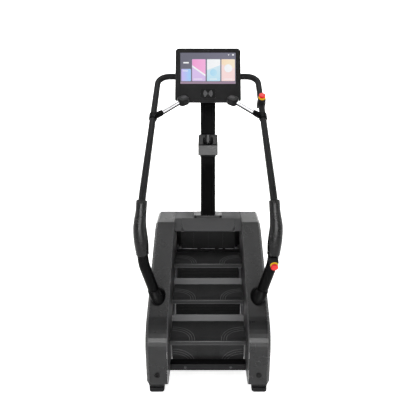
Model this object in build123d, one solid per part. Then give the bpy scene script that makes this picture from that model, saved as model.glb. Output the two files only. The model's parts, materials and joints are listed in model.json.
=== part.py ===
from build123d import *
import math
import os

os.makedirs("parts", exist_ok=True)

# Overall machine, millimetres. Y = 0 here is the user's end; save() centres the part.
LENGTH = 1180.0
HALF_W = 398.0
GAP = 256.0
PANEL_Z = 84.0
SKIN = 5.0
SEAM = 0.6

# Stairs
RISE = 163.7
RUN = 241.9
NOSE_Y = 90.0
NOSE_Z = 347.0
TREAD_HALF = 251.0
TREAD_DEPTH = 238.0
NOSE_H = 30.0
MAT_T = 4.0
INCLINE = math.atan2(RISE, RUN)

# Housing side profile (Y, Z)
ARC_Z = 311.0
ARC_R = 250.0
SLOPE_A = math.radians(35.0)
SLOPE_END_Y = 680.0
DECK_Y = 742.0
DECK_Z = 946.0
DECK_BACK_Y = 965.0
DECK_BACK_Z = 962.0
COVER_IN = 262.0
COVER_OUT = 378.4
SEAM_LOW_Y = 164.0
SEAM_HIGH_Y = 289.0

# Mast, console and rails
MAST_PATH = [(0, 852, 941), (0, 1025, 1342), (0, 1012, 1740), (0, 1052, 1925)]
MAST_W = 114.0
MAST_D = 66.0
CONSOLE_TILT = 15.9
CONSOLE_BOTTOM = (0, 922, 1823)
CONSOLE_H = 400.0
CONSOLE_HW_TOP = 240.0
CONSOLE_HW_LOW = 246.0
SCREEN_W = 413.0
SCREEN_H = 232.0
RAIL_R = 22.5
BAR_Y = 1060.0
BAR_Z = 2008.0
BAR_X = 377.0
BEND_R = 85.0
KNEE = [(401.5, 215, 1305.8), (428, 196, 1100), (413, 195, 850), (341, 226, 585)]
RAIL_LOW = (399.5, 285, 1364)
LOWER_R = 35.0
CLAMP_T = 0.431

# Drive
LOW_SHAFT = (350.0, 215.0)
UP_SHAFT = (979.0, 641.0)
SPROCKET_R = 58.0
CHAIN_X = 214.0
SHAFT_R = 14.0


def save(shape, name):
    export_step(Pos(0, -LENGTH / 2, 0) * shape, "parts/" + name + ".step")


def block(x0, x1, y0, y1, z0, z1):
    centre = Pos((x0 + x1) / 2, (y0 + y1) / 2, (z0 + z1) / 2)
    return centre * Box(x1 - x0, y1 - y0, z1 - z0)


def rod(start, end, radius):
    axis = Vector(*end) - Vector(*start)
    plane = Plane(origin=start, z_dir=axis)
    return extrude(plane * Circle(radius), axis.length)


def tube_x(x0, x1, y, z, radius):
    return rod((x0, y, z), (x1, y, z), radius)


def slab(points, x0, x1):
    """A closed side outline of (Y, Z) points, extruded from x0 to x1."""
    face = make_face(Polyline(*[(x0, y, z) for y, z in points], close=True))
    return extrude(face, x1 - x0, dir=(1, 0, 0))


def slope_z(y):
    """Height of the housing's slope over the floor at a distance from the front."""
    foot_y = ARC_R * (1 - math.sin(SLOPE_A))
    foot_z = ARC_Z + ARC_R * math.cos(SLOPE_A)
    return foot_z + (y - foot_y) * math.tan(SLOPE_A)


def outline(inset):
    """The housing's side outline moved inwards by inset."""
    r = ARC_R - inset
    points = [(inset, PANEL_Z)]
    steps = 9
    for i in range(steps + 1):
        a = (math.pi / 2 - SLOPE_A) * i / steps
        points.append((ARC_R - r * math.cos(a), ARC_Z + r * math.sin(a)))
    nx = inset * math.sin(SLOPE_A)
    nz = inset * math.cos(SLOPE_A)
    points.append((SLOPE_END_Y + nx, slope_z(SLOPE_END_Y) - nz))
    points.append((DECK_Y + inset * 0.4, DECK_Z - inset))
    points.append((DECK_BACK_Y - inset * 0.2, DECK_BACK_Z - inset))
    points.append((1100 - inset * 0.6, 920 - inset * 0.8))
    points.append((1170 - inset, 830 - inset * 0.5))
    points.append((LENGTH - inset, 760))
    points.append((LENGTH - inset, PANEL_Z))
    return points


def strip(x0, x1, y_from, y_to, z_from=0.0, z_to=2000.0, gap=0.0):
    """A length of the housing skin between x0 and x1."""
    skin = slab(outline(gap), x0, x1) - slab(outline(gap + SKIN), x0 - 1, x1 + 1)
    return skin & block(x0, x1, y_from, y_to, z_from, z_to)


def mirrored(shape, side):
    return shape if side > 0 else mirror(shape, Plane.YZ)


SIDES = {"right": 1, "left": -1}


def rail_point(t):
    low = Vector(*RAIL_LOW)
    top = Vector(BAR_X, BAR_Y, BAR_Z)
    return top + (low - top) * t


def rail_plane(t):
    return Plane(origin=rail_point(t), z_dir=Vector(*RAIL_LOW) - Vector(BAR_X, BAR_Y, BAR_Z))


def swept(points, radii, section):
    path = FilletPolyline(*points, radius=radii)
    start = path @ 0
    return sweep(Plane(origin=start, z_dir=path % 0) * section, path=path)


# ---------------------------------------------------------------- base frame
def base_frame():
    frame = block(-340, 340, 138, 196, 84, 132) + block(-340, 340, 1060, 1120, 84, 132)
    for side in (1, -1):
        x0, x1 = (300, 350) if side > 0 else (-350, -300)
        frame += block(x0, x1, 14, 1120, 84, 134)
        frame += block(x0, x1, 236, 286, 134, 560)
        frame += block(x0, x1, 1000, 1050, 134, 930)
        frame += block(x0, x1, 762, 1050, 890, 930)
        stringer = [(236, 470), (286, 470), (1020, 880), (1020, 925), (970, 925), (236, 520)]
        frame += slab(stringer, x0, x1)
        low_y, low_z = LOW_SHAFT
        up_y, up_z = UP_SHAFT
        frame += block(x0, x1, low_y - 30, low_y + 30, 134, low_z + 34)
        frame += block(x0, x1, up_y - 30, 1010, up_z - 34, up_z + 34)
        inner = (256.8, 300) if side > 0 else (-300, -256.8)
        frame += block(inner[0], inner[1], low_y - 24, low_y + 24, 150, low_z + 28)
        frame += block(inner[0], inner[1], up_y - 24, up_y + 24, up_z - 28, up_z + 28)
    frame += block(-350, 350, 762, 797, 868, 898) + block(-350, 350, 968, 1008, 890, 930)
    frame += block(-130, 130, 824, 1008, 926, 941)
    for side in (1, -1):
        frame -= tube_x(256 * side, 360 * side, LOW_SHAFT[0], LOW_SHAFT[1], 22)
        frame -= tube_x(256 * side, 360 * side, UP_SHAFT[0], UP_SHAFT[1], 22)
        frame -= Pos(154 * side, 138, 108) * (Rot(90, 0, 0) * Cylinder(5, 24))
    return frame


def crossbar_screws():
    parts = []
    for side in (1, -1):
        head = Pos(154 * side, 136.5, 108) * (Rot(90, 0, 0) * Cylinder(9, 3))
        shank = Pos(154 * side, 144, 108) * (Rot(90, 0, 0) * Cylinder(5, 12))
        socket = Pos(154 * side, 135, 108) * (Rot(90, 0, 0) * extrude(RegularPolygon(4, 6), 3, both=True))
        parts.append(head + shank - socket)
    return Compound(children=parts)


def foot_brackets():
    parts = []
    for side in (1, -1):
        for y in (56, 1110):
            plate = block(338 * side - 50, 338 * side + 50, y - 34, y + 34, 46, 84)
            plate = fillet(plate.edges().filter_by(Axis.Z), 14)
            plate = chamfer(plate.faces().sort_by(Axis.Z)[0].edges(), 5)
            parts.append(plate - Pos(338 * side, y, 60) * Cylinder(6.0, 60))
    return Compound(children=parts)


def levelling_feet():
    parts = []
    for side in (1, -1):
        for y in (56, 1110):
            pad = block(338 * side - 49, 338 * side + 49, y - 33, y + 33, 0, 38)
            pad = fillet(pad.edges().filter_by(Axis.Z), 16)
            pad = chamfer(pad.faces().sort_by(Axis.Z)[0].edges(), 8)
            nut = Pos(338 * side, y, 38) * extrude(RegularPolygon(11, 6), 7)
            stud = Pos(338 * side, y, 43) * Cylinder(6.0, 66)
            parts.append(pad + nut + stud)
    return Compound(children=parts)


def transport_wheel(side):
    x = 262 * side
    tyre = tube_x(x - 14, x + 14, 1146, 52, 34)
    tyre = fillet(tyre.edges().filter_by(GeomType.CIRCLE), 5)
    tyre -= tube_x(x - 15, x - 8, 1146, 52, 22)
    tyre -= tube_x(x + 8, x + 15, 1146, 52, 22)
    return tyre - tube_x(x - 20, x + 20, 1146, 52, 6.06)


def wheel_brackets():
    parts = []
    for side in (1, -1):
        x = 262 * side
        fork = block(x - 22, x - 17, 1121, 1164, 38, 132) + block(x + 17, x + 22, 1121, 1164, 38, 132)
        fork += block(x - 22, x + 22, 1121, 1125, 90, 132)
        parts.append(fork + tube_x(x - 24, x + 24, 1146, 52, 6.0))
    return Compound(children=parts)


# ------------------------------------------------------------------- housing
def side_cover():
    outer = slab(outline(0), 379, HALF_W)
    face = outer.faces().sort_by(Axis.X)[-1]
    outer = chamfer(face.edges(), 16)
    inner = slab(outline(SKIN), 378, HALF_W - SKIN)
    inner_face = inner.faces().sort_by(Axis.X)[-1]
    return outer - chamfer(inner_face.edges(), 14)


def front_cover():
    cover = strip(COVER_IN, COVER_OUT, -1, SEAM_LOW_Y)
    cover &= block(0, 400, -1, SEAM_LOW_Y, 0, 700)
    return cover - Pos(327, 0, 155) * (Rot(90, 0, 0) * Cylinder(16, 30))


def boot_hole():
    return Pos(352, 226, 600) * (Rot(0, -13, 0) * Cylinder(LOWER_R + 0.5, 160))


def socket_cover():
    return strip(COVER_IN, COVER_OUT, SEAM_LOW_Y + SEAM, SEAM_HIGH_Y, 400) - lower_tube(LOWER_R + 0.5)


def slope_cover():
    return strip(COVER_IN, COVER_OUT, SEAM_HIGH_Y + SEAM, DECK_BACK_Y, 500)


def inner_skirt():
    """The flat panel that closes a side of the stair well."""
    skirt = slab(outline(1.5), GAP + 0.8, GAP + 4.8)
    low_y, low_z = LOW_SHAFT
    skirt -= block(GAP - 1, GAP + 8, low_y - 25, low_y + 25, 149, low_z + 29)
    skirt -= block(GAP - 1, GAP + 8, 137, 197, 80, 133)
    skirt -= block(GAP - 1, GAP + 8, 761, 798, 867, 899)
    return skirt & block(0, 400, -1, 940, 0, 2000)


def deck_region():
    """Side outline of the deck between the side panels."""
    return [(716, 884), (820, 950), (DECK_BACK_Y, 962), (DECK_BACK_Y, 950), (822, 943), (722, 876)]


def top_deck():
    deck = slab(deck_region(), -GAP, GAP)
    deck -= slab([(700, 860), (815, 944), (812, 958), (700, 900)], -204, 204)
    return deck - block(-63, 63, 812, 905, 940, 970)


def deck_insert():
    lip = slab([(712, 884), (812, 955), (815, 947.2), (719, 877)], -201, 201)
    corner = make_face(Polyline((203, 700, 800), (203, 745, 800), (170, 700, 800), close=True))
    wedge = extrude(corner, 200, dir=(0, 0, 1))
    return lip - wedge - mirror(wedge, Plane.YZ)


def mast_collar():
    plate = Pos(0, 875, 964) * Box(219, 118, 20)
    plate = fillet(plate.edges().filter_by(Axis.Z), 28)
    plate = fillet(plate.faces().sort_by(Axis.Z)[-1].edges(), 6)
    plate &= slab([(780, 947.6), (780, 990), (960, 990), (960, 962.0)], -200, 200)
    return plate - mast_solid(0.0)


def rear_cover():
    cover = strip(-COVER_OUT, COVER_OUT, DECK_BACK_Y + SEAM, LENGTH + 1)
    for i in range(7):
        cover -= block(-150, 150, 1150, LENGTH + 5, 520 + i * 26, 532 + i * 26)
    cover -= block(-26, 26, 1160, LENGTH + 5, 130, 166)
    cover -= block(46, 74, 1160, LENGTH + 5, 134, 162)
    return cover


def power_inlet():
    shell = block(-25.7, 25.7, 1140, LENGTH - 1.5, 130.3, 165.7)
    shell -= block(-18, 18, 1152, LENGTH + 2, 137, 159)
    for x in (-9, 0, 9):
        shell += block(x - 1.5, x + 1.5, 1150, 1168, 144, 152)
    return shell


def power_switch():
    rocker = block(50.5, 69.5, 1160, LENGTH + 2, 139.5, 156.5)
    return fillet(rocker.edges().filter_by(Axis.X), 2)


def switch_bezel():
    bezel = block(46.4, 73.6, 1158, LENGTH + 0.6, 134.4, 161.6)
    return bezel - block(50, 70, 1150, LENGTH + 3, 137, 159)


def front_plug(side):
    cap = Pos(327 * side, 1.5, 155) * (Rot(90, 0, 0) * Cylinder(18, 3))
    cap = cap + Pos(327 * side, 4, 155) * (Rot(90, 0, 0) * Cylinder(15.9, 8))
    cap = cap & block(-400, 400, -4, 9, 100, 200)
    shown = Pos(0, -3, 0) * cap
    if side < 0:
        return shown - Pos(327 * side, -3, 155) * (Rot(90, 0, 0) * Cylinder(12, 8))
    return shown - Pos(327 * side, -3, 155) * (Rot(90, 0, 0) * Cylinder(3, 3))


# -------------------------------------------------------------------- stairs
def tread(y, z):
    plate = slab([(y + 1, z - MAT_T), (y + 1, z - NOSE_H), (y + 9, z - NOSE_H), (y + 16, z - 14),
                  (y + TREAD_DEPTH, z - 14), (y + TREAD_DEPTH, z - MAT_T)], -TREAD_HALF, TREAD_HALF)
    for x in (-190, -64, 64, 190):
        plate += block(x - 3, x + 3, y + 12, y + 200, z - NOSE_H, z - 12)
    return plate


def tread_mat(y, z):
    top = block(-TREAD_HALF, TREAD_HALF, y - 2, y + TREAD_DEPTH - 3, z - MAT_T, z)
    lip = block(-TREAD_HALF, TREAD_HALF, y - 2, y + 1, z - NOSE_H + 4, z - MAT_T)
    mat = top + lip
    for i in range(7):
        mat -= block(-TREAD_HALF, TREAD_HALF, y + 6 + i * 6, y + 8 + i * 6, z - 1.2, z + 1)
    return mat


def kick_strip(y, z):
    """The inclined plate closing the back of a tread."""
    base = y + TREAD_DEPTH
    points = [(base + 0.2, z - 14), (base + 0.2, z + 1), (base + 13, z + 44), (base + 17, z + 44),
              (base + 4.2, z), (base + 4.2, z - 14)]
    return slab(points, -TREAD_HALF - 2, TREAD_HALF + 2)


def riser(y, z):
    """The ribbed black panel between a kick strip and the next nose."""
    base = y + TREAD_DEPTH + 17
    panel = block(-226, 226, base + 0.2, base + 4.2, z + 30, z + RISE - NOSE_H - 1)
    for i in range(3):
        rib = block(-222, 222, base - 3, base + 0.4, z + 54 + i * 24, z + 62 + i * 24)
        panel += rib
    return panel


def hinge_bar():
    y = NOSE_Y + 2 * RUN + TREAD_DEPTH
    z = NOSE_Z + 2 * RISE
    bar = tube_x(-TREAD_HALF + 1, TREAD_HALF - 1, y + 11, z + 10, 8)
    bar += block(-TREAD_HALF + 1, TREAD_HALF - 1, y + 0.2, y + 9, z - 14, z + 4)
    for x in (-70, 70):
        bar += block(x - 16, x + 16, y + 0.4, y + 21, z - 6, z + 22)
    return bar


def upper_riser():
    y = NOSE_Y + 2 * RUN + TREAD_DEPTH + 14
    z = NOSE_Z + 2 * RISE
    panel = block(-214, 214, y, y + 6, z + 22.2, z + RISE)
    for x in (-113, 4, 117):
        panel -= block(x - 2, x + 2, y - 1, y + 2, z + 34, z + RISE + 1)
    return panel


PIN_BACK = 222.0
PIN_DROP = 66.0
PIN_R = 7.0


def step_carriers():
    """Brackets that hang each tread on the chain, with their pins."""
    parts = []
    for k in range(3):
        y = NOSE_Y + RUN * k
        z = NOSE_Z + RISE * k
        for side in (1, -1):
            x0, x1 = (233, 239) if side > 0 else (-239, -233)
            plate = slab([(y + 60, z - 14.0), (y + 236, z - 14.0), (y + 236, z - 60), (y + 230, z - 74),
                          (y + 214, z - 74)], x0, x1)
            pin = tube_x(205 * side, 250 * side, y + PIN_BACK, z - PIN_DROP, PIN_R)
            parts.append(plate + pin)
    return Compound(children=parts)


def guide_rails():
    """Two bars beside the stair well that carry the step pins up the incline."""
    parts = []
    start = -26.0
    stop = RUN * 2 + 130
    for side in (1, -1):
        x0, x1 = (241, GAP + 0.8) if side > 0 else (-GAP - 0.8, -241)
        y = NOSE_Y + PIN_BACK
        z = NOSE_Z - PIN_DROP - (PIN_R + 0.4) / math.cos(INCLINE)
        points = [(y + u, z + u * RISE / RUN - v) for u, v in ((start, 0), (stop, 0), (stop, 9), (start, 9))]
        parts.append(slab(points, x0, x1))
    return Compound(children=parts)


def return_tread():
    """A step on its way back round the lower shaft, hanging from its axle."""
    y = 250
    plate = block(-TREAD_HALF, TREAD_HALF, y - 10, y, 40, 252)
    plate += tube_x(-TREAD_HALF, TREAD_HALF, y - 2, 262, 9) + block(-TREAD_HALF, TREAD_HALF, y - 6, y, 248, 262)
    plate -= tube_x(-TREAD_HALF - 1, TREAD_HALF + 1, y - 2, 262, 5.06)
    plate += block(-TREAD_HALF, TREAD_HALF, y - 10, y + 16, 36, 44)
    return plate


def return_mat():
    mat = block(-TREAD_HALF, TREAD_HALF, 236, 240, 38, 244)
    for i in range(6):
        mat -= block(-TREAD_HALF, TREAD_HALF, 235, 237.2, 48 + i * 6, 50 + i * 6)
    return mat


def return_axle():
    return tube_x(-GAP - 0.8, GAP + 0.8, 248, 262, 5)


# --------------------------------------------------------------------- drive
def sprocket(x, y, z):
    disc = tube_x(x - 3, x + 3, y, z, SPROCKET_R)
    teeth = 20
    for i in range(teeth):
        a = 2 * math.pi * i / teeth
        disc += tube_x(x - 3, x + 3, y + SPROCKET_R * math.cos(a), z + SPROCKET_R * math.sin(a), 3.4)
    for i in range(5):
        a = 2 * math.pi * i / 5
        disc -= tube_x(x - 9, x + 9, y + 34 * math.cos(a), z + 34 * math.sin(a), 9)
    return disc


def shaft(y, z):
    axle = tube_x(-290, 290, y, z, SHAFT_R)
    for side in (1, -1):
        axle += sprocket(CHAIN_X * side, y, z) + tube_x(CHAIN_X * side - 12, CHAIN_X * side + 12, y, z, 24)
    return axle


def upper_shaft():
    y, z = UP_SHAFT
    return shaft(y, z) + tube_x(120, 142, y, z, 46) + tube_x(117, 145, y, z, 28)


def bearings():
    parts = []
    for y, z in (LOW_SHAFT, UP_SHAFT):
        for side in (1, -1):
            ring = tube_x(258 * side, 299 * side, y, z, 21.9)
            parts.append(ring - tube_x(250 * side, 305 * side, y, z, SHAFT_R + 0.05))
    return Compound(children=parts)


def chain(side):
    """The chain drawn as a closed band round both sprockets."""
    ly, lz = LOW_SHAFT
    uy, uz = UP_SHAFT
    run = math.hypot(uy - ly, uz - lz)
    lift = math.degrees(math.atan2(uz - lz, uy - ly))
    outer = SlotOverall(run + 2 * (SPROCKET_R + 10), 2 * (SPROCKET_R + 10))
    inner = SlotOverall(run + 2 * (SPROCKET_R + 4.2), 2 * (SPROCKET_R + 4.2))
    plane = Plane(origin=(CHAIN_X * side - 5, (ly + uy) / 2, (lz + uz) / 2), x_dir=(0, 1, 0), z_dir=(1, 0, 0))
    return extrude(plane * Rot(0, 0, lift) * (outer - inner), 10)


MOTOR = (850.0, 300.0)


def motor():
    y, z = MOTOR
    body = tube_x(-90, 100, y, z, 84) + block(-70, 80, y - 60, y + 60, 140, z)
    for i in range(9):
        cut = tube_x(-80 + i * 18, -74 + i * 18, y, z, 90) - tube_x(-90 + i * 18, -70 + i * 18, y, z, 78)
        body -= cut & block(-100, 110, y - 100, y + 100, z, z + 100)
    body += block(-70, 80, y - 60, 1110, 132, 146)
    return body - tube_x(70, 160, y, z, 15.06)


def motor_pulley():
    y, z = MOTOR
    return tube_x(74, 142, y, z, 15) + tube_x(120, 142, y, z, 26) + tube_x(117, 120, y, z, 30)


def belt_outline(grow):
    """Points round both pulleys, as an open-run belt lies."""
    y, z = MOTOR
    uy, uz = UP_SHAFT
    small = 26.8 + grow
    big = 46.8 + grow
    run = math.hypot(uy - y, uz - z)
    lift = math.atan2(uz - z, uy - y)
    lean = math.asin((big - small) / run)
    points = []
    for i in range(17):
        a = lift + math.pi / 2 + lean + (math.pi - 2 * lean) * i / 16
        points.append((y + small * math.cos(a), z + small * math.sin(a)))
    for i in range(17):
        a = lift - math.pi / 2 - lean + (math.pi + 2 * lean) * i / 16
        points.append((uy + big * math.cos(a), uz + big * math.sin(a)))
    return points


def drive_belt():
    return slab(belt_outline(4.6), 122, 140) - slab(belt_outline(0.6), 121, 141)


# ------------------------------------------------------------ mast and rails
def mast_solid(grow):
    section = RectangleRounded(MAST_W + 2 * grow, MAST_D + 2 * grow, 14)
    path = FilletPolyline(*MAST_PATH, radius=[150, 150])
    start = Plane(origin=path @ 0, x_dir=(1, 0, 0), z_dir=path % 0)
    return sweep(start * section, path=path)


def console_plane(offset=0.0):
    tilt = math.radians(CONSOLE_TILT)
    origin = Vector(*CONSOLE_BOTTOM) + Vector(0, math.cos(tilt), -math.sin(tilt)) * offset
    return Plane(origin=origin, x_dir=(1, 0, 0), z_dir=(0, -math.cos(tilt), math.sin(tilt)))


def mast():
    flat = console_plane(58.2) * Pos(0, 200, 0) * Rectangle(600, 700)
    solid = mast_solid(0.0) - extrude(flat, 200)
    return solid - block(-200, 200, 700, 1000, 800, 941)


def console_outline(inset):
    shape = Polygon((-CONSOLE_HW_LOW + inset, inset), (CONSOLE_HW_LOW - inset, inset),
                    (CONSOLE_HW_TOP - inset, CONSOLE_H - inset), (-CONSOLE_HW_TOP + inset, CONSOLE_H - inset),
                    align=None)
    return fillet(shape.vertices(), 26 - inset * 0.4)


def console_back():
    body = extrude(console_plane(58) * console_outline(7), 50)
    rear = body.faces().sort_by(Axis(console_plane().origin, console_plane().z_dir))[0]
    body = chamfer(rear.edges(), 14)
    return body - extrude(console_plane(52) * console_outline(18), 60)


def console_bezel():
    frame = extrude(console_plane(7.8) * console_outline(0), 7.8)
    window = console_plane(5) * Pos(0, CONSOLE_H - 31 - SCREEN_H / 2) * Rectangle(SCREEN_W, SCREEN_H)
    reader = console_plane(2) * Pos(0, 66) * RectangleRounded(111, 70, 9)
    return frame - extrude(window, 20) - extrude(reader, 20)


def display_screen():
    window = Pos(0, CONSOLE_H - 31 - SCREEN_H / 2) * Rectangle(SCREEN_W - 0.6, SCREEN_H - 0.6)
    return extrude(console_plane(5) * window, 3.6)


def card_reader():
    plate = extrude(console_plane(2) * Pos(0, 66) * RectangleRounded(110.4, 69.4, 8.7), 3.0)
    return plate


def console_mount():
    """The plate behind the console that takes the mast and the top bar."""
    plate = extrude(console_plane(66) * Pos(0, 110) * RectangleRounded(220, 190, 20), 7.9)
    saddle = tube_x(-88, 88, BAR_Y, BAR_Z, 33)
    arm = slab([(1000, 1880), (1040, 2030), (1060, 2041), (1082, 2032), (1093, 2008), (1100, 1890)], -70, 70)
    keep = extrude(console_plane(58.1) * Pos(0, 200) * Rectangle(900, 900), 300)
    body = plate + (saddle + arm - keep)
    return body - tube_x(-120, 120, BAR_Y, BAR_Z, RAIL_R + 0.02) - mast_keep()


def mast_keep():
    flat = console_plane(58.2) * Pos(0, 200, 0) * Rectangle(600, 700)
    return mast_solid(0.0) - extrude(flat, 200)


def top_bar():
    clamp = rail_point(CLAMP_T)
    right = (clamp.X, clamp.Y, clamp.Z)
    left = (-clamp.X, clamp.Y, clamp.Z)
    points = [left, (-BAR_X, BAR_Y, BAR_Z), (BAR_X, BAR_Y, BAR_Z), right]
    return swept(points, [BEND_R, BEND_R], Circle(RAIL_R))


def hand_path():
    clamp = rail_point(CLAMP_T)
    points = [(clamp.X, clamp.Y, clamp.Z)] + KNEE
    return FilletPolyline(*points, radius=[170, 400, 300])


def lower_tube(radius):
    path = hand_path()
    return sweep(Plane(origin=path @ 0, z_dir=path % 0) * Circle(radius), path=path)


GRIP_FROM = 0.50
GRIP_TO = 0.758
GRIP_R = [32.5, 34, 36, 40, 43.5, 45.5, 44, 41]


def handrail():
    """The upper tube, from the clamp down into the socket in the housing."""
    return lower_tube(RAIL_R)


def grip():
    path = hand_path()
    sections = Sketch()
    faces = []
    for i, radius in enumerate(GRIP_R):
        u = GRIP_FROM + (GRIP_TO - GRIP_FROM) * i / (len(GRIP_R) - 1)
        faces.append(Plane(origin=path @ u, z_dir=path % u) * Circle(radius))
    return loft(faces) - lower_tube(RAIL_R)


def lower_rail():
    path = hand_path()
    thick = lower_tube(LOWER_R) - lower_tube(RAIL_R)
    start = Plane(origin=path @ GRIP_TO, z_dir=(path % GRIP_TO) * -1)
    thick -= extrude(start * Rectangle(2600, 2600), 2000)
    return thick - block(378.7, 500, 100, 300, 500, 622)


def socket_boot():
    slope = Plane(origin=(338, 226, slope_z(226)), x_dir=(1, 0, 0),
                  z_dir=(0, -math.sin(SLOPE_A), math.cos(SLOPE_A)))
    base = slope * Pos(-10, 0, 0.3) * Ellipse(46, 66)
    waist = slope * Pos(0, -2, 24) * Ellipse(44, 56)
    axis = (Vector(*KNEE[2]) - Vector(*KNEE[3])).normalized()
    top = Plane(origin=Vector(*KNEE[3]) + axis * 74, z_dir=axis) * Circle(40)
    return loft([base, waist, top], ruled=False) - lower_tube(LOWER_R) - slab(outline(0), 378.7, 420)


def rail_clamp():
    plane = rail_plane(CLAMP_T)
    ring = extrude(plane * Circle(29), 24, both=True)
    ring = chamfer(ring.edges().filter_by(GeomType.CIRCLE), 3)
    start = rail_point(CLAMP_T)
    boss = rod((start.X - 20, start.Y + 4, start.Z + 8), (start.X - 58, start.Y + 18, start.Z + 28), 21)
    return ring + boss - extrude(plane * Circle(RAIL_R), 60, both=True)


def bar_ends():
    start = rail_point(CLAMP_T)
    inner = Vector(start.X - 58, start.Y + 18, start.Z + 28)
    outer = Vector(206, 808, 1828)
    return inner, outer


def sensor_bar():
    inner, outer = bar_ends()
    return rod(tuple(inner), tuple(outer), 18.5)


def pulse_contact():
    """The bright strip a hand rests on, along the top of the bar."""
    inner, outer = bar_ends()
    axis = (outer - inner).normalized()
    start = inner + axis * 8
    end = outer - axis * 10
    sleeve = rod(tuple(start), tuple(end), 20.0) - rod(tuple(inner), tuple(outer), 18.5)
    tilt = Vector(0, -0.5, 0.87)
    up = (tilt - axis * tilt.dot(axis)).normalized()
    cutter = Plane(origin=(inner + outer) * 0.5 + up * 4, x_dir=axis, z_dir=up)
    return sleeve & extrude(cutter * Rectangle(400, 100), 40)


def pod_frame():
    inner, outer = bar_ends()
    axis = (outer - inner).normalized()
    return Plane(origin=outer, x_dir=axis, z_dir=Vector(0, -0.5, 0.866))


def handle_pod():
    base = pod_frame()
    body = extrude(base * Pos(34, 0, 0) * RectangleRounded(76, 70, 24), 24, both=True)
    body = fillet(body.edges(), 7)
    bite = extrude(base * Pos(44, 0, 14.5) * RectangleRounded(41, 31, 7), 30)
    return body - bite - sensor_bar()


def pod_key():
    base = pod_frame()
    key = extrude(base * Pos(44, 0, 17.6) * RectangleRounded(40, 30, 6.6), 9)
    return fillet(key.faces().sort_by(Axis.Z)[-1].edges(), 2)


def cup_holder():
    side = [(888, 1436), (888, 1508), (915, 1515), (968, 1578), (991.5, 1580), (991.5, 1420), (904, 1420)]
    body = slab(side, -74, 74)
    body = fillet(body.edges().filter_by(Axis.Z), 6)
    for x in (-1, 1):
        edge = block(min(60 * x, 80 * x), max(60 * x, 80 * x), 880, 1000, 1410, 1434)
        body -= edge
    body -= Pos(0, 934, 1436 + 100) * Cylinder(41, 200)
    keep = mast_solid(0.1)
    return body - keep


ESTOP = {
    "upper": ((384.0, 821.0, 1833.0), (0.0, -0.62, 0.785)),
    "lower": ((414.0, 165.0, 880.0), (0.0, -0.92, -0.39)),
}


def estop_plane(place):
    origin, axis = ESTOP[place]
    return Plane(origin=origin, x_dir=(1, 0, 0), z_dir=axis)


def estop_box(place):
    """The switch housing with the clamp that holds it on the rail."""
    base = estop_plane(place)
    body = extrude(base * RectangleRounded(54, 56, 8), 34)
    body = chamfer(body.faces().sort_by(Axis(base.origin, base.z_dir))[-1].edges(), 3)
    if place == "upper":
        body += extrude(base * RectangleRounded(60, 40, 8), -46)
    else:
        body += extrude(base * Pos(0, -8) * RectangleRounded(64, 36, 8), -20)
    body -= extrude(base * Pos(0, 0, 8) * Circle(9), 60)
    if place == "upper":
        return body - extrude(rail_plane(CLAMP_T) * Circle(RAIL_R), 900, both=True)
    return body - lower_tube(LOWER_R)


def estop_ring(place):
    base = estop_plane(place)
    ring = extrude(base * Pos(0, 0, 34.1) * Circle(25), 5)
    return ring - extrude(base * Circle(9), 60)


def estop_button(place):
    base = estop_plane(place)
    stem = extrude(base * Pos(0, 0, 14) * Circle(8.94), 32)
    cap = extrude(base * Pos(0, 0, 45) * Circle(23.5), 16)
    cap = fillet(cap.edges(), 5)
    return stem + cap


# ------------------------------------------------------------------- write it
def pair(make):
    """The same piece on both sides, as one group."""
    shape = make()
    return Compound(children=[shape, mirror(shape, Plane.YZ)])


def stairs(make, count):
    return Compound(children=[make(NOSE_Y + RUN * k, NOSE_Z + RISE * k) for k in range(count)])


save(base_frame(), "base_frame")
save(crossbar_screws(), "crossbar_screws")
save(foot_brackets(), "foot_brackets")
save(levelling_feet(), "levelling_feet")
save(wheel_brackets(), "wheel_brackets")
for name, side in SIDES.items():
    save(transport_wheel(side), "transport_wheel_" + name)
    save(mirrored(side_cover(), side), "side_cover_" + name)
    save(mirrored(handrail(), side), "handrail_" + name)
    save(mirrored(grip(), side), "grip_" + name)
    save(mirrored(lower_rail(), side), "lower_rail_" + name)
    save(mirrored(pod_key(), side), "pod_key_" + name)
save(pair(front_cover), "front_covers")
save(pair(socket_cover), "socket_covers")
save(pair(slope_cover), "slope_covers")
save(pair(inner_skirt), "inner_skirts")
save(pair(socket_boot), "socket_boots")
save(Compound(children=[pair(rail_clamp), pair(sensor_bar)]), "sensor_bars")
save(pair(pulse_contact), "pulse_contacts")
save(pair(handle_pod), "handle_pods")
save(Compound(children=[front_plug(1), front_plug(-1)]), "front_plugs")
save(top_deck(), "top_deck")
save(deck_insert(), "deck_insert")
save(mast_collar(), "mast_collar")
save(rear_cover(), "rear_cover")
save(Compound(children=[power_inlet(), switch_bezel()]), "power_entry")
save(power_switch(), "power_switch")
save(stairs(tread, 3), "tread_plates")
save(stairs(tread_mat, 3), "tread_mats")
save(stairs(kick_strip, 2), "kick_strips")
save(stairs(riser, 2), "risers")
save(Compound(children=[hinge_bar(), upper_riser()]), "upper_riser")
save(step_carriers(), "step_carriers")
save(guide_rails(), "guide_rails")
save(return_tread(), "return_tread")
save(return_mat(), "return_mat")
save(shaft(*LOW_SHAFT), "lower_shaft")
save(upper_shaft(), "upper_shaft")
save(Compound(children=[bearings(), return_axle()]), "bearings")
save(Compound(children=[chain(1), chain(-1)]), "chains")
save(motor(), "motor")
save(motor_pulley(), "motor_pulley")
save(drive_belt(), "drive_belt")
save(mast(), "mast")
save(console_back(), "console_back")
save(console_bezel(), "console_bezel")
save(display_screen(), "display_screen")
save(card_reader(), "card_reader")
save(console_mount(), "console_mount")
save(top_bar(), "top_bar")
save(cup_holder(), "cup_holder")
save(Compound(children=[estop_box(place) for place in ESTOP]), "estop_boxes")
save(Compound(children=[estop_ring(place) for place in ESTOP]), "estop_rings")
for place in ESTOP:
    save(estop_button(place), "estop_button_" + place)
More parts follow.
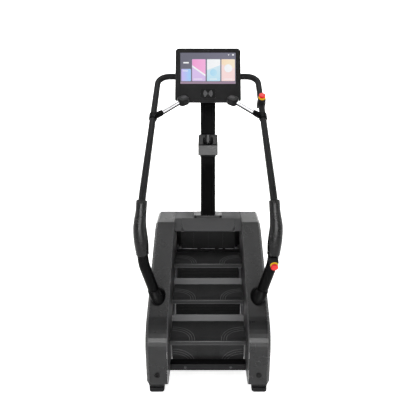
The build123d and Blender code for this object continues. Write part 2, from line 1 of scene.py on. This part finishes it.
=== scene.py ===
import json
import math

import bpy
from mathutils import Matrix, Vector


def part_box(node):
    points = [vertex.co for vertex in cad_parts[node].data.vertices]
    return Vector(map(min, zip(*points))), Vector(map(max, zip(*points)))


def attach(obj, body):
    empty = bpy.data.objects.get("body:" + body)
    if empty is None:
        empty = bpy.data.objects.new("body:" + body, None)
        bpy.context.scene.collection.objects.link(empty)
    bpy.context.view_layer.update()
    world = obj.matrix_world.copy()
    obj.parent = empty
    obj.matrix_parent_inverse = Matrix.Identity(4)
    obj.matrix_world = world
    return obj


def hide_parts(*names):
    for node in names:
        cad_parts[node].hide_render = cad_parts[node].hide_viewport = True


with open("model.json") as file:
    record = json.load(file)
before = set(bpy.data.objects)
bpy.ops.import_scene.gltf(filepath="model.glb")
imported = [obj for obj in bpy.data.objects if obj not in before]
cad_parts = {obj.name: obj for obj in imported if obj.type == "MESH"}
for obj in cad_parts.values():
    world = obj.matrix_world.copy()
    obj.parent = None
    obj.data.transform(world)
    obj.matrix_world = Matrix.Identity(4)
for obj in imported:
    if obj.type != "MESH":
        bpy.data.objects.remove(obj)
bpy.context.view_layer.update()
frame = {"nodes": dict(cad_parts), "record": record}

# ------------------------------------------------------------------ camera
CAMERA_BACK = 2.814
CAMERA_HEIGHT = 1.942
CAMERA_PITCH = math.radians(16.6)
LENS = 35.5
SENSOR = 36.0

cam_data = bpy.data.cameras.new("camera")
cam_data.lens = LENS
cam_data.sensor_width = SENSOR
cam_data.clip_end = 60
camera = bpy.data.objects.new("camera", cam_data)
bpy.context.collection.objects.link(camera)
camera.location = (0, -CAMERA_BACK, CAMERA_HEIGHT)
camera.rotation_euler = (math.pi / 2 - CAMERA_PITCH, 0, 0)
bpy.context.scene.camera = camera
cam_data.dof.use_dof = False


# --------------------------------------------------------------- materials
def finish_material(name, color, rough, metal=0.0, grain=700.0, bump=0.12, vary=0.12, rough_vary=0.1,
                    coat=0.0, wear_and_edge_sheen=0.0, wear_and_sheen_color=(0.2, 0.2, 0.2), brushed=(1, 1, 1), specular=0.22):
    """A surface with fine grain, cloudy tone, uneven gloss, and sharp edges painted lighter for rubbed wear
    and a painted edge highlight.
    """
    mat = bpy.data.materials.new(name)
    mat.use_nodes = True
    nodes = mat.node_tree.nodes
    links = mat.node_tree.links
    shader = nodes["Principled BSDF"]
    shader.inputs["Metallic"].default_value = metal
    shader.inputs["Coat Weight"].default_value = coat
    shader.inputs["Specular IOR Level"].default_value = specular
    place = nodes.new("ShaderNodeTexCoord")
    mapping = nodes.new("ShaderNodeMapping")
    mapping.inputs["Scale"].default_value = brushed
    links.new(place.outputs["Object"], mapping.inputs["Vector"])

    fine = nodes.new("ShaderNodeTexNoise")
    fine.inputs["Scale"].default_value = grain
    fine.inputs["Detail"].default_value = 3
    links.new(mapping.outputs["Vector"], fine.inputs["Vector"])
    relief = nodes.new("ShaderNodeBump")
    relief.inputs["Strength"].default_value = bump
    relief.inputs["Distance"].default_value = 0.0006
    links.new(fine.outputs["Fac"], relief.inputs["Height"])
    links.new(relief.outputs["Normal"], shader.inputs["Normal"])

    cloud = nodes.new("ShaderNodeTexNoise")
    cloud.inputs["Scale"].default_value = 7
    cloud.inputs["Detail"].default_value = 6
    cloud.inputs["Roughness"].default_value = 0.6
    links.new(place.outputs["Object"], cloud.inputs["Vector"])
    tone = nodes.new("ShaderNodeValToRGB")
    tone.color_ramp.elements[0].position = 0.3
    tone.color_ramp.elements[1].position = 0.7
    tone.color_ramp.elements[0].color = [c * (1 - vary) for c in color] + [1]
    tone.color_ramp.elements[1].color = [c * (1 + vary) for c in color] + [1]
    links.new(cloud.outputs["Fac"], tone.inputs["Fac"])
    gloss = nodes.new("ShaderNodeMapRange")
    gloss.inputs["From Min"].default_value = 0.3
    gloss.inputs["From Max"].default_value = 0.7
    gloss.inputs["To Min"].default_value = max(0.02, rough - rough_vary)
    gloss.inputs["To Max"].default_value = min(1.0, rough + rough_vary)
    links.new(cloud.outputs["Fac"], gloss.inputs["Value"])
    links.new(gloss.outputs["Result"], shader.inputs["Roughness"])

    if wear_and_edge_sheen <= 0:
        links.new(tone.outputs["Color"], shader.inputs["Base Color"])
        return mat
    # Lighter colour along sharp edges: partly rubbed wear, partly a painted highlight where the edges would
    # catch the light.
    shape = nodes.new("ShaderNodeNewGeometry")
    rounded = nodes.new("ShaderNodeBevel")
    rounded.samples = 4
    rounded.inputs["Radius"].default_value = 0.0018
    turn = nodes.new("ShaderNodeVectorMath")
    turn.operation = "DOT_PRODUCT"
    links.new(shape.outputs["Normal"], turn.inputs[0])
    links.new(rounded.outputs["Normal"], turn.inputs[1])
    edge = nodes.new("ShaderNodeMapRange")
    edge.inputs["From Min"].default_value = 0.80
    edge.inputs["From Max"].default_value = 0.985
    edge.inputs["To Min"].default_value = wear_and_edge_sheen
    edge.inputs["To Max"].default_value = 0.0
    links.new(turn.outputs["Value"], edge.inputs["Value"])
    wear_and_sheen_mix = nodes.new("ShaderNodeMix")
    wear_and_sheen_mix.data_type = "RGBA"
    wear_and_sheen_mix.inputs["B"].default_value = (*wear_and_sheen_color, 1)
    links.new(edge.outputs["Result"], wear_and_sheen_mix.inputs["Factor"])
    links.new(tone.outputs["Color"], wear_and_sheen_mix.inputs["A"])
    links.new(wear_and_sheen_mix.outputs["Result"], shader.inputs["Base Color"])
    return mat


def lit_material(name, low, high, strength=0.9, axis="X"):
    """A picture area on the display: a soft ramp between two colours, lit from behind."""
    mat = bpy.data.materials.new(name)
    mat.use_nodes = True
    nodes = mat.node_tree.nodes
    links = mat.node_tree.links
    shader = nodes["Principled BSDF"]
    shader.inputs["Roughness"].default_value = 0.25
    shader.inputs["Emission Strength"].default_value = strength
    place = nodes.new("ShaderNodeTexCoord")
    split = nodes.new("ShaderNodeSeparateXYZ")
    links.new(place.outputs["Generated"], split.inputs["Vector"])
    speckle = nodes.new("ShaderNodeTexNoise")
    speckle.inputs["Scale"].default_value = 5
    links.new(place.outputs["Generated"], speckle.inputs["Vector"])
    blend = nodes.new("ShaderNodeMath")
    blend.operation = "MULTIPLY_ADD"
    blend.inputs[1].default_value = 0.25
    links.new(speckle.outputs["Fac"], blend.inputs[0])
    links.new(split.outputs[axis], blend.inputs[2])
    ramp = nodes.new("ShaderNodeValToRGB")
    ramp.color_ramp.elements[0].color = (*low, 1)
    ramp.color_ramp.elements[1].color = (*high, 1)
    links.new(blend.outputs["Value"], ramp.inputs["Fac"])
    links.new(ramp.outputs["Color"], shader.inputs["Emission Color"])
    shader.inputs["Base Color"].default_value = (0.01, 0.01, 0.012, 1)
    return mat


M = {
    "frame_steel": finish_material("frame_steel", (0.005, 0.005, 0.0053), 0.42, grain=500, bump=0.2,
                                   specular=0.12, wear_and_edge_sheen=0.35, wear_and_sheen_color=(0.08, 0.08, 0.08)),
    "cover_plastic": finish_material("cover_plastic", (0.0068, 0.0068, 0.0070), 0.29, grain=1400, bump=0.10,
                                     specular=0.26, rough_vary=0.05, wear_and_edge_sheen=0.3, wear_and_sheen_color=(0.09, 0.09, 0.09)),
    "deck_plastic": finish_material("deck_plastic", (0.028, 0.028, 0.029), 0.45, grain=1400, bump=0.22,
                                    wear_and_edge_sheen=0.25),
    "skirt_metal": finish_material("skirt_metal", (0.035, 0.035, 0.036), 0.4, grain=300, bump=0.1, wear_and_edge_sheen=0.3),
    "mat_rubber": finish_material("mat_rubber", (0.017, 0.017, 0.0175), 0.72, grain=1700, bump=0.5, vary=0.2),
    "tread_alu": finish_material("tread_alu", (0.08, 0.08, 0.082), 0.45, metal=0.6, brushed=(1, 12, 12)),
    "strip_alu": finish_material("strip_alu", (0.078, 0.078, 0.08), 0.5, metal=0.1, brushed=(0.6, 14, 14),
                                 wear_and_edge_sheen=0.3, wear_and_sheen_color=(0.3, 0.3, 0.3)),
    "riser_plastic": finish_material("riser_plastic", (0.002, 0.002, 0.0021), 0.5, grain=1200, bump=0.2,
                                     specular=0.1, wear_and_edge_sheen=0.5, wear_and_sheen_color=(0.05, 0.05, 0.05)),
    "mast_metal": finish_material("mast_metal", (0.0010, 0.0010, 0.0011), 0.5, grain=900, bump=0.15,
                                  specular=0.03, wear_and_edge_sheen=0.25, wear_and_sheen_color=(0.03, 0.03, 0.03)),
    "rail_metal": finish_material("rail_metal", (0.0075, 0.0075, 0.0078), 0.45, grain=900, bump=0.2,
                                  specular=0.08, wear_and_edge_sheen=0.15, wear_and_sheen_color=(0.05, 0.05, 0.05)),
    "grip_rubber": finish_material("grip_rubber", (0.0018, 0.0018, 0.0019), 0.27, grain=2200, bump=0.15,
                                   rough_vary=0.04, specular=0.22),
    "console_plastic": finish_material("console_plastic", (0.0055, 0.0055, 0.0058), 0.5, grain=1500, bump=0.2,
                                       specular=0.15, wear_and_edge_sheen=0.3, wear_and_sheen_color=(0.06, 0.06, 0.06)),
    "bezel_gloss": finish_material("bezel_gloss", (0.0085, 0.0085, 0.0088), 0.34, grain=1500, bump=0.06,
                                   specular=0.10, wear_and_edge_sheen=0.25, wear_and_sheen_color=(0.05, 0.05, 0.05)),
    "screen_glass": finish_material("screen_glass", (0.003, 0.003, 0.004), 0.12, grain=40, bump=0.01,
                                    specular=0.1),
    "reader_plastic": finish_material("reader_plastic", (0.005, 0.005, 0.0052), 0.3, grain=900, bump=0.05,
                                      specular=0.1),
    "contact_chrome": finish_material("contact_chrome", (0.46, 0.46, 0.47), 0.26, metal=1.0, grain=120,
                                      bump=0.02, vary=0.03, rough_vary=0.05),
    "key_plastic": finish_material("key_plastic", (0.02, 0.02, 0.021), 0.5, grain=1500, bump=0.2),
    "stop_red": finish_material("stop_red", (0.42, 0.004, 0.003), 0.32, grain=800, bump=0.05, coat=0.2),
    "stop_yellow": finish_material("stop_yellow", (0.62, 0.36, 0.01), 0.4, grain=800, bump=0.1),
    "stop_black": finish_material("stop_black", (0.006, 0.006, 0.0065), 0.5, grain=1300, bump=0.3,
                                  specular=0.12, wear_and_edge_sheen=0.2, wear_and_sheen_color=(0.05, 0.05, 0.05)),
    "zinc_steel": finish_material("zinc_steel", (0.30, 0.30, 0.31), 0.35, metal=0.9, grain=200, bump=0.1),
    "chain_steel": finish_material("chain_steel", (0.10, 0.095, 0.09), 0.4, metal=0.9, grain=260, bump=0.6),
    "belt_rubber": finish_material("belt_rubber", (0.012, 0.012, 0.012), 0.7, grain=500, bump=0.5),
    "motor_iron": finish_material("motor_iron", (0.05, 0.05, 0.053), 0.6, grain=260, bump=0.7),
    "foot_rubber": finish_material("foot_rubber", (0.006, 0.006, 0.0063), 0.7, grain=900, bump=0.4,
                                   specular=0.1),
    "tyre_rubber": finish_material("tyre_rubber", (0.015, 0.015, 0.0155), 0.7, grain=700, bump=0.4),
    "inlet_plastic": finish_material("inlet_plastic", (0.003, 0.003, 0.003), 0.5, grain=900, bump=0.2,
                                     specular=0.1),
}

node_slot = {s["node"]: s["material_slot"] for s in frame["record"]["subparts"]}
for node, obj in frame["nodes"].items():
    obj.data.materials.clear()
    obj.data.materials.append(M[node_slot[node]])

# A few nodes are darker than others that share their slot.
rail_dark = finish_material("rail_dark", (0.0008, 0.0008, 0.0009), 0.3, grain=900, bump=0.12, specular=0.05)
for node in ("lower_rail_left", "lower_rail_right", "socket_boots", "sensor_bars"):
    frame["nodes"][node].data.materials[0] = rail_dark
screw_dark = finish_material("screw_dark", (0.05, 0.05, 0.052), 0.4, metal=0.7, grain=300, bump=0.1)
frame["nodes"]["crossbar_screws"].data.materials[0] = screw_dark
pod_dark = finish_material("pod_dark", (0.003, 0.003, 0.0032), 0.42, grain=1500, bump=0.2, specular=0.12,
                           wear_and_edge_sheen=0.4, wear_and_sheen_color=(0.06, 0.06, 0.06))
frame["nodes"]["handle_pods"].data.materials[0] = pod_dark


# ----------------------------------------------------------- mesh helpers
def linked(name, data):
    """A new object for data, placed in the scene."""
    obj = bpy.data.objects.new(name, data)
    bpy.context.collection.objects.link(obj)
    return obj


def mesh_object(name, verts, faces, mat):
    mesh = bpy.data.meshes.new(name)
    mesh.from_pydata([tuple(v) for v in verts], [], faces)
    mesh.update()
    mesh.materials.append(mat)
    return linked(name, mesh)


def add_mesh(name, verts, faces, mat, body, smooth=False):
    """A piece of the object, which rides on a body and wears the material it is given."""
    obj = mesh_object(name, verts, faces, mat)
    for p in obj.data.polygons:
        p.use_smooth = smooth
    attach(obj, body)


def round_tube(points, radius, sides):
    """Vertices and faces of a closed tube along points."""
    verts = []
    faces = []
    count = len(points)
    for i, p in enumerate(points):
        ahead = points[min(i + 1, count - 1)] - points[max(i - 1, 0)]
        ahead.normalize()
        side = ahead.cross(Vector((0, 1, 0))).normalized()
        up = side.cross(ahead)
        for k in range(sides):
            a = 2 * math.pi * k / sides
            verts.append(p + (side * math.cos(a) + up * math.sin(a)) * radius)
    for i in range(count - 1):
        for k in range(sides):
            n = (k + 1) % sides
            faces.append((i * sides + k, i * sides + n, (i + 1) * sides + n, (i + 1) * sides + k))
    faces.append(tuple(reversed(range(sides))))
    faces.append(tuple(range((count - 1) * sides, count * sides)))
    return verts, faces


# -------------------------------------------------------------- tread mats
STEPS = 3
RUN = 0.2419
RISE = 0.1637
MAT_RISE = 0.0012
LINES = 3
LINE_START = 0.088
LINE_GAP = 0.016
LINE_END = 0.243
LINE_STEPS = 16
LINE_WIDTH = 0.0055
HATCH_ROWS = 9
HATCH_COLUMNS = 26
HATCH_PITCH = 0.0088
HATCH_HALF = 0.0030
HATCH_REACH = 0.236
FINE_ROWS = 22
FINE_WIDTH = 0.0016
FINE_HALF = 0.080
NOSE_RADIUS = 0.0032
NOSE_SUNK = 0.0004
PATTERN_INSET = 0.004
mat_low, mat_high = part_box("tread_mats")
mat_depth = mat_high.y - mat_low.y - (STEPS - 1) * RUN
first_top = mat_high.z - (STEPS - 1) * RISE

line_mat = finish_material("mat_ridge", (0.055, 0.055, 0.056), 0.62, grain=1700, bump=0.3)
edge_mat = finish_material("nose_edge", (0.062, 0.062, 0.063), 0.5, grain=1500, bump=0.2)
hatch_mat = finish_material("mat_hatch", (0.009, 0.009, 0.0093), 0.7, grain=1700, bump=0.4)


def flat_strip(verts, faces, path, width, height, out):
    """A low raised strip with a sloped edge along path, standing on a surface facing out."""
    base = len(verts)
    for i, p in enumerate(path):
        ahead = path[min(i + 1, len(path) - 1)] - path[max(i - 1, 0)]
        side = ahead.cross(out).normalized()
        verts.extend([p + side * width / 2, p + side * width * 0.3 + out * height,
                      p - side * width * 0.3 + out * height, p - side * width / 2])
    for i in range(len(path) - 1):
        for k in range(3):
            a = base + i * 4 + k
            faces.append((a, a + 1, a + 5, a + 4))
    last = base + (len(path) - 1) * 4
    faces.append((base + 3, base + 2, base + 1, base))
    faces.append((last, last + 1, last + 2, last + 3))


def mat_pattern(name, body, origin, along, out, depth):
    """The ridges moulded on one mat: curved lines on each side, a hatch at the back, fine lines between."""
    verts = []
    faces = []
    for side in (1, -1):
        for n in range(LINES):
            start_x = LINE_START + LINE_GAP * n
            reach = 0.66 - 0.09 * n
            path = []
            for i in range(LINE_STEPS + 1):
                a = math.radians(90 * i / LINE_STEPS)
                x = side * (start_x + (LINE_END - start_x) * (1 - math.cos(a)) ** 1.15)
                path.append(origin + Vector((x, 0, 0)) + along * depth * (0.02 + reach * math.sin(a)))
            flat_strip(verts, faces, path, LINE_WIDTH, MAT_RISE, out)
    add_mesh(name + "_lines", verts, faces, line_mat, body)
    verts = []
    faces = []
    for row in range(HATCH_ROWS):
        reach = 0.100 + 0.016 * row
        for col in range(-HATCH_COLUMNS, HATCH_COLUMNS + 1):
            x = col * HATCH_PITCH + (HATCH_PITCH / 2 if row % 2 else 0)
            if abs(x) > min(reach, HATCH_REACH):
                continue
            c = origin + Vector((x, 0, 0)) + along * depth * (0.62 + 0.04 * row)
            across = Vector((HATCH_HALF, 0, 0))
            base = len(verts)
            ahead = along * HATCH_HALF
            verts.extend([c - across, c - ahead, c + across, c + ahead, c + out * MAT_RISE])
            faces.extend([(base, base + 1, base + 4), (base + 1, base + 2, base + 4),
                          (base + 2, base + 3, base + 4), (base + 3, base, base + 4)])
    for row in range(FINE_ROWS):
        v = depth * (0.06 + 0.04 * row)
        path = [origin + Vector((x, 0, 0)) + along * v for x in (-FINE_HALF, FINE_HALF)]
        flat_strip(verts, faces, path, FINE_WIDTH, MAT_RISE * 0.5, out)
    add_mesh(name + "_hatch", verts, faces, hatch_mat, body)


UP = Vector((0, 0, 1))
BACK = Vector((0, 1, 0))
for k in range(STEPS):
    front = Vector((0, mat_low.y + RUN * k, first_top + RISE * k))
    mat_pattern(f"tread_{k + 1}", "step_band", front + BACK * PATTERN_INSET, BACK, UP, mat_depth)
    nose = [Vector((x, front.y, front.z - NOSE_SUNK)) for x in (-mat_high.x, mat_high.x)]
    verts, faces = round_tube(nose, NOSE_RADIUS, 10)
    add_mesh(f"nose_edge_{k + 1}", verts, faces, edge_mat, "step_band", smooth=True)

back_low, back_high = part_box("return_mat")
mat_pattern("return_step_face", "return_step", Vector((0, back_low.y, back_low.z + PATTERN_INSET)), UP, -BACK,
            back_high.z - back_low.z)

# ------------------------------------------------------------------- grips
GRIP_VOXEL = 0.0032
SKIN_SCALE = 0.011
SKIN_DEPTH = 0.0009


def rubber_grip(side):
    """The moulded sleeve, with softened ends and a slightly uneven skin."""
    mesh = frame["nodes"]["grip_" + side].data.copy()
    obj = linked("grip_sleeve_" + side, mesh)
    mesh.materials.clear()
    mesh.materials.append(M["grip_rubber"])
    remesh = obj.modifiers.new("remesh", "REMESH")
    remesh.mode = "VOXEL"
    remesh.voxel_size = GRIP_VOXEL
    remesh.use_smooth_shade = True
    soften = obj.modifiers.new("soften", "SMOOTH")
    soften.iterations = 8
    soften.factor = 0.5
    skin = bpy.data.textures.new("grip_skin_" + side, "CLOUDS")
    skin.noise_scale = SKIN_SCALE
    uneven = obj.modifiers.new("uneven", "DISPLACE")
    uneven.texture = skin
    uneven.texture_coords = "LOCAL"
    uneven.strength = SKIN_DEPTH
    uneven.mid_level = 0.5
    baked = bpy.data.meshes.new_from_object(obj.evaluated_get(bpy.context.evaluated_depsgraph_get()))
    obj.modifiers.clear()
    obj.data = baked
    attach(obj, "frame")
    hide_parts("grip_" + side)


for hand in ("left", "right"):
    rubber_grip(hand)

# ------------------------------------------------------------------ display
TILT = math.radians(15.9)
pane_low, pane_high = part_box("display_screen")
pane_centre = (pane_low + pane_high) / 2
PANE_UP = Vector((0, math.sin(TILT), math.cos(TILT)))
PANE_OUT = Vector((0, -math.cos(TILT), math.sin(TILT)))
PANE_W = pane_high.x - pane_low.x
PANE_H = 0.2314
PANE_T = 0.0036


def on_pane(u, v, lift):
    """A point on the display: u and v run from 0 to 1 from its lower left corner."""
    return (pane_centre + Vector(((u - 0.5) * PANE_W, 0, 0)) + PANE_UP * (v - 0.5) * PANE_H
            + PANE_OUT * (PANE_T / 2 + lift))


def round_tile(name, u0, v0, u1, v1, mat, lift=0.0006, corner=0.006):
    """A thin plate with rounded corners, between two corners given on the display."""
    points = []
    cu = corner / PANE_W
    cv = corner / PANE_H
    for cx, cy, start in ((u1 - cu, v1 - cv, 0), (u0 + cu, v1 - cv, 90), (u0 + cu, v0 + cv, 180),
                          (u1 - cu, v0 + cv, 270)):
        for i in range(6):
            a = math.radians(start + 18 * i)
            points.append(on_pane(cx + cu * math.cos(a), cy + cv * math.sin(a), lift))
    thin = [p - PANE_OUT * 0.0003 for p in points]
    count = len(points)
    faces = [tuple(range(count)), tuple(reversed(range(count, 2 * count)))]
    for i in range(count):
        n = (i + 1) % count
        faces.append((n, i, i + count, n + count))
    add_mesh(name, points + thin, faces, mat, "frame")


def band(name, corners, mat, lift):
    """A straight-edged patch of picture given by its corners on the display."""
    points = [on_pane(u, v, lift) for u, v in corners]
    add_mesh(name, points, [tuple(range(len(points)))], mat, "frame")


def upper_part(u0, u1, left_v, right_v, top=0.785, cut=0.010):
    """The corners of a tile's upper part, which ends below in a slanting line."""
    return [(u0, left_v), (u1, right_v), (u1, top - cut), (u1 - cut, top), (u0 + cut, top), (u0, top - cut)]


menu = lit_material("screen_menu", (0.14, 0.14, 0.19), (0.20, 0.20, 0.27), 0.75)
round_tile("screen_background", 0.002, 0.003, 0.998, 0.997, menu, 0.0004, 0.004)
round_tile("screen_footer", 0.004, 0.006, 0.996, 0.075,
           lit_material("screen_mauve", (0.38, 0.26, 0.36), (0.36, 0.24, 0.34), 0.8), 0.0007, 0.003)
round_tile("screen_tile_small", 0.020, 0.09, 0.193, 0.48,
           lit_material("tile_blue_violet", (0.62, 0.45, 0.88), (0.36, 0.62, 0.95), 0.9))
TILES = [
    ("rose", 0.213, 0.457, (0.68, 0.52, 0.84), (0.72, 0.54, 0.86)),
    ("ice", 0.480, 0.722, (0.48, 0.76, 0.90), (0.72, 0.86, 0.93)),
    ("peach", 0.742, 0.985, (0.95, 0.70, 0.70), (0.97, 0.76, 0.72)),
]
for name, u0, u1, low, high in TILES:
    round_tile("screen_tile_" + name, u0, 0.09, u1, 0.79, lit_material("tile_" + name, low, high, 0.9, "Z"))
rose = lit_material("tile_rose_top", (0.90, 0.34, 0.66), (0.94, 0.44, 0.74), 0.9)
band("screen_rose_top", upper_part(0.215, 0.455, 0.60, 0.30), rose, 0.0009)
white = lit_material("tile_white", (0.90, 0.92, 0.94), (0.95, 0.96, 0.97), 0.9)
band("screen_rose_stripe", [(0.215, 0.54), (0.455, 0.24), (0.455, 0.30), (0.215, 0.60)], white, 0.0010)
band("screen_ice_top", upper_part(0.482, 0.720, 0.44, 0.60), white, 0.0009)
cream = lit_material("tile_cream", (0.96, 0.74, 0.52), (0.97, 0.84, 0.62), 0.9)
band("screen_peach_top", upper_part(0.744, 0.983, 0.62, 0.50), cream, 0.0009)


def disc(name, u, v, radius, mat, lift, sides=24, start=0.0, sweep=2 * math.pi):
    """A flat disc on the display, or a sector of one."""
    centre = on_pane(u, v, lift)
    points = [centre]
    for i in range(sides + 1):
        a = start + sweep * i / sides
        points.append(centre + Vector((radius * math.cos(a), 0, 0)) + PANE_UP * radius * math.sin(a))
    faces = [(0, i + 1, i + 2) for i in range(sides)]
    add_mesh(name, points, faces, mat, "frame")


disc("screen_peach_sun", 0.865, 0.50, 0.030, white, 0.0012)
sky = lit_material("tile_sky", (0.40, 0.70, 0.90), (0.50, 0.78, 0.93))
disc("screen_ice_moon", 0.60, 0.36, 0.026, sky, 0.0012)
disc("screen_signal", 0.872, 0.905, 0.0085, white, 0.0010, 12, math.radians(45), math.radians(90))
round_tile("screen_battery", 0.935, 0.905, 0.965, 0.955, white, 0.0010, 0.002)
round_tile("screen_clock", 0.055, 0.655, 0.155, 0.70, white, 0.0010, 0.003)
for n, (u0, u1) in enumerate(((0.24, 0.40), (0.53, 0.66), (0.79, 0.94))):
    round_tile(f"screen_caption_{n + 1}", u0, 0.145, u1, 0.165, white, 0.0012, 0.0015)
round_tile("screen_caption_small", 0.04, 0.405, 0.14, 0.425, white, 0.0012, 0.0015)

# The card reader's sign is two fans of waves that face each other.
WAVES = 6
WAVE_FIRST = 0.006
WAVE_GAP = 0.0052
WAVE_STEPS = 12
reader_low, reader_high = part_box("card_reader")
reader_centre = (reader_low + reader_high) / 2 + PANE_OUT * 0.0017
wave = finish_material("reader_wave", (0.085, 0.085, 0.087), 0.5, grain=900, bump=0.05)
verts = []
faces = []
for side in (1, -1):
    for n in range(WAVES):
        r = WAVE_FIRST + WAVE_GAP * n
        path = []
        for i in range(WAVE_STEPS + 1):
            a = math.radians(-50 + 100 * i / WAVE_STEPS)
            offset = Vector((side * (r * math.cos(a)), 0, 0)) + PANE_UP * r * math.sin(a)
            path.append(reader_centre + offset)
        flat_strip(verts, faces, path, 0.0030, 0.0005, PANE_OUT)
add_mesh("reader_waves", verts, faces, wave, "frame")

# ------------------------------------------------------------------- floor
def glowing(name, strength, grain, near_y, far_y, dim):
    """Pale studio paper that also gives off a little light, and less of it towards the front of the room."""
    mat = finish_material(name, (0.9, 0.9, 0.9), 0.8, grain=grain, bump=0.02, vary=0.004, specular=0.1)
    nodes = mat.node_tree.nodes
    links = mat.node_tree.links
    shader = nodes["Principled BSDF"]
    shader.inputs["Emission Color"].default_value = (1, 1, 1, 1)
    place = nodes.new("ShaderNodeTexCoord")
    split = nodes.new("ShaderNodeSeparateXYZ")
    links.new(place.outputs["Object"], split.inputs["Vector"])
    fade = nodes.new("ShaderNodeMapRange")
    fade.interpolation_type = "SMOOTHSTEP"
    fade.inputs["From Min"].default_value = far_y
    fade.inputs["From Max"].default_value = near_y
    fade.inputs["To Min"].default_value = strength * dim
    fade.inputs["To Max"].default_value = strength
    links.new(split.outputs["Y"], fade.inputs["Value"])
    links.new(fade.outputs["Result"], shader.inputs["Emission Strength"])
    return mat


FLOOR_RADIUS = 12.0
WALL_HEIGHT = 11.0
WALL_SIDES = 64
low_ring = []
high_ring = []
wall_faces = []
for i in range(WALL_SIDES):
    turn = 2 * math.pi * i / WALL_SIDES
    after = (i + 1) % WALL_SIDES
    low_ring.append(Vector((FLOOR_RADIUS * math.cos(turn), FLOOR_RADIUS * math.sin(turn), 0)))
    high_ring.append(low_ring[i] + Vector((0, 0, WALL_HEIGHT)))
    wall_faces.append((i, after, after + WALL_SIDES, i + WALL_SIDES))
floor_paper = glowing("floor_white", 0.62, 90, -1.0, -2.6, 0.15)
wall_paper = glowing("backdrop_white", 0.95, 3, -2.0, -8.0, 0.3)
floor = mesh_object("floor", low_ring, [tuple(range(WALL_SIDES))], floor_paper)
wall = mesh_object("backdrop", low_ring + high_ring, wall_faces, wall_paper)


# ------------------------------------------------------------------ lights
def area_light(name, place, target, size, power):
    """A soft box at place, turned towards target."""
    data = bpy.data.lights.new(name, "AREA")
    data.shape = "RECTANGLE"
    data.size, data.size_y = size
    data.energy = power
    light = linked(name, data)
    light.location = place
    light.rotation_euler = (Vector(target) - Vector(place)).to_track_quat("-Z", "Y").to_euler()
    return light


area_light("key", (-2.4, -3.0, 3.4), (0, 0, 0.9), (1.6, 2.2), 45)
area_light("fill", (2.9, -2.8, 2.6), (0, 0, 0.9), (1.6, 2.2), 25)
area_light("top", (0, 0.2, 4.6), (0, 0.1, 0.6), (3.0, 3.0), 90)
strip = area_light("strip", (0, -4.6, 0.85), (0, 0, 0.45), (3.2, 0.8), 115)
strip.visible_camera = False
world = bpy.data.worlds.new("studio")
world.use_nodes = True
backlight = world.node_tree.nodes["Background"]
backlight.inputs["Color"].default_value = (1, 1, 1, 1)
backlight.inputs["Strength"].default_value = 0.12
bpy.context.scene.world = world
bpy.context.scene.view_settings.view_transform = "Standard"
